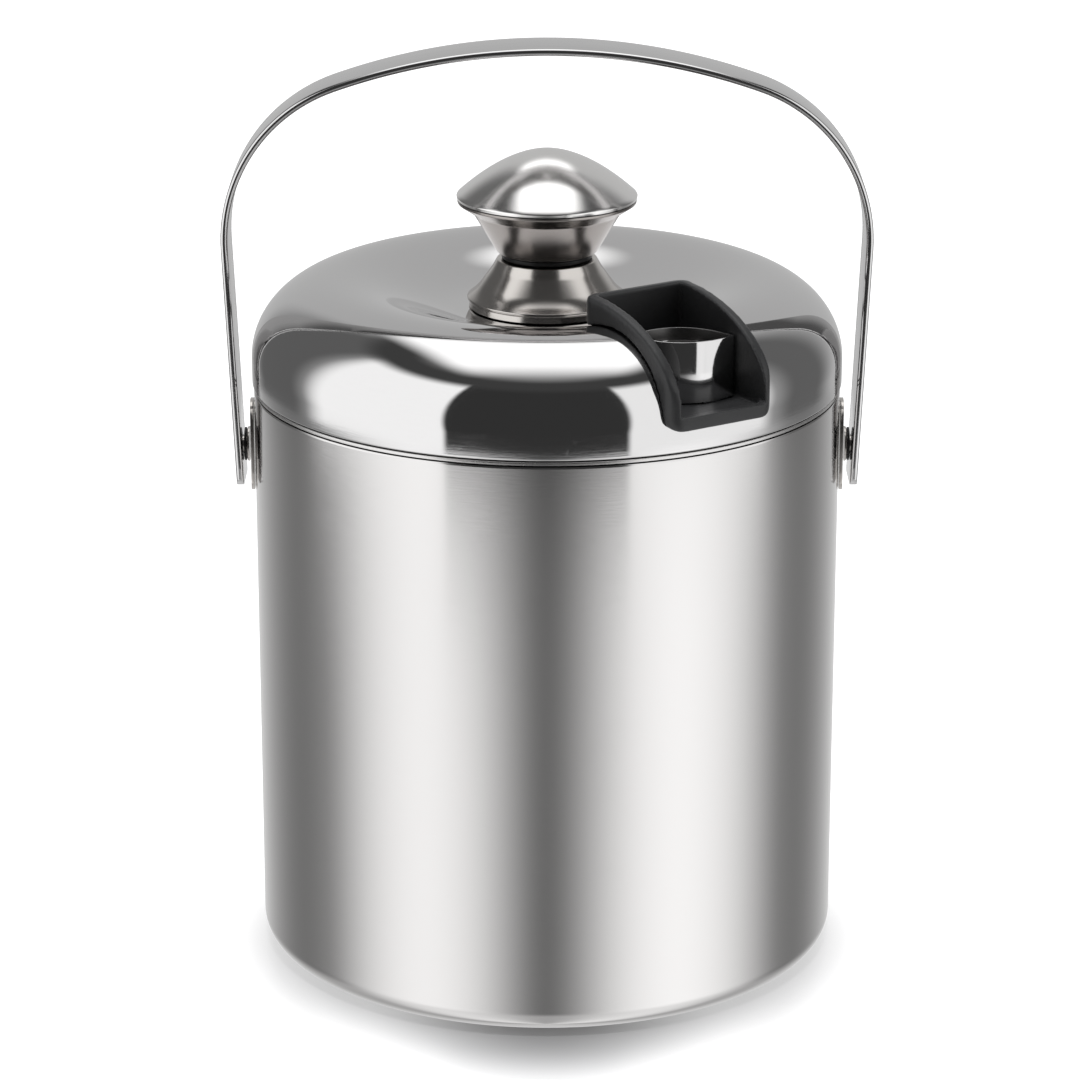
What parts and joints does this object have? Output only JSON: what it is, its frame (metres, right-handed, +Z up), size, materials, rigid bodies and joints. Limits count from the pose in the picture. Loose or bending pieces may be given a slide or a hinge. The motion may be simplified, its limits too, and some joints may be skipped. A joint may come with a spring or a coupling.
{
  "type": "ice bucket",
  "caption": "Double-walled steel ice bucket with a swinging bail, a domed lid with a turned knob, and tongs kept upright in a holder in the lid.",
  "frame": {"origin": "centre of the base, on the surface that the bucket stands on", "axes": "+Z up along the body's axis, X along the bail's pivots, -Y towards the front, with the tong holder 33 degrees from the front towards +X"},
  "size_m": [0.1536, 0.1408, 0.221],
  "materials": {
    "satin_steel": "fine satin stainless steel, brushed round the body",
    "mirror_steel": "mirror-polished stainless steel",
    "raw_steel": "plain machined steel",
    "black_plastic": "matte black moulded plastic with a fine grain",
    "black_nylon": "smooth black nylon",
    "grey_silicone": "soft grey silicone"
  },
  "bodies": {
    "bucket": {"outer_shell": "satin_steel", "base_disc": "satin_steel", "inner_liner": "satin_steel", "ear_plate_left": "mirror_steel", "ear_plate_right": "mirror_steel", "pivot_pin_left": "mirror_steel", "pivot_pin_right": "mirror_steel"},
    "bail": {"bail_strip": "mirror_steel", "pivot_washer_left": "black_nylon", "pivot_washer_right": "black_nylon"},
    "lid": {"lid_dome": "mirror_steel", "lid_inner_pan": "satin_steel", "knob_foot": "mirror_steel", "knob_gasket": "black_nylon", "knob_cone": "mirror_steel", "knob_cap": "mirror_steel", "knob_nut": "raw_steel", "knob_screw": "raw_steel", "knob_screw_washer": "grey_silicone", "spacer_sleeve": "raw_steel", "tong_holder": "black_plastic", "holder_collar": "black_plastic"},
    "tongs": {"tong_head": "mirror_steel"},
    "front_arm": {"tong_arm_front": "mirror_steel"},
    "back_arm": {"tong_arm_back": "mirror_steel"}
  },
  "joints": [
    {"name": "bail_swing", "type": "hinge", "parent": "bucket", "child": "bail", "pos_m": [0, 0, 0.1235], "axis": [1, 0, 0], "range_deg": [-128, 128]},
    {"name": "lid_lift", "type": "slide", "parent": "bucket", "child": "lid", "axis": [0, 0, 1], "range_m": [0, 0.022]},
    {"name": "tongs_lift", "type": "slide", "parent": "lid", "child": "tongs", "axis": [0, 0, 1], "range_m": [0, 0.125]},
    {"name": "front_arm_squeeze", "type": "hinge", "parent": "tongs", "child": "front_arm", "pos_m": [0.0304, -0.0509, 0.1542], "axis": [1, 0, 0], "range_deg": [-1.5, 1.1], "stiffness_Nm_per_rad": 0.5},
    {"name": "back_arm_squeeze", "type": "hinge", "parent": "tongs", "child": "back_arm", "pos_m": [0.0304, -0.0391, 0.1542], "axis": [1, 0, 0], "range_deg": [-1.1, 1.5], "stiffness_Nm_per_rad": 0.5}
  ],
  "couplings": [
    {"joint": "back_arm_squeeze", "follows": "front_arm_squeeze", "ratio": -1}
  ]
}
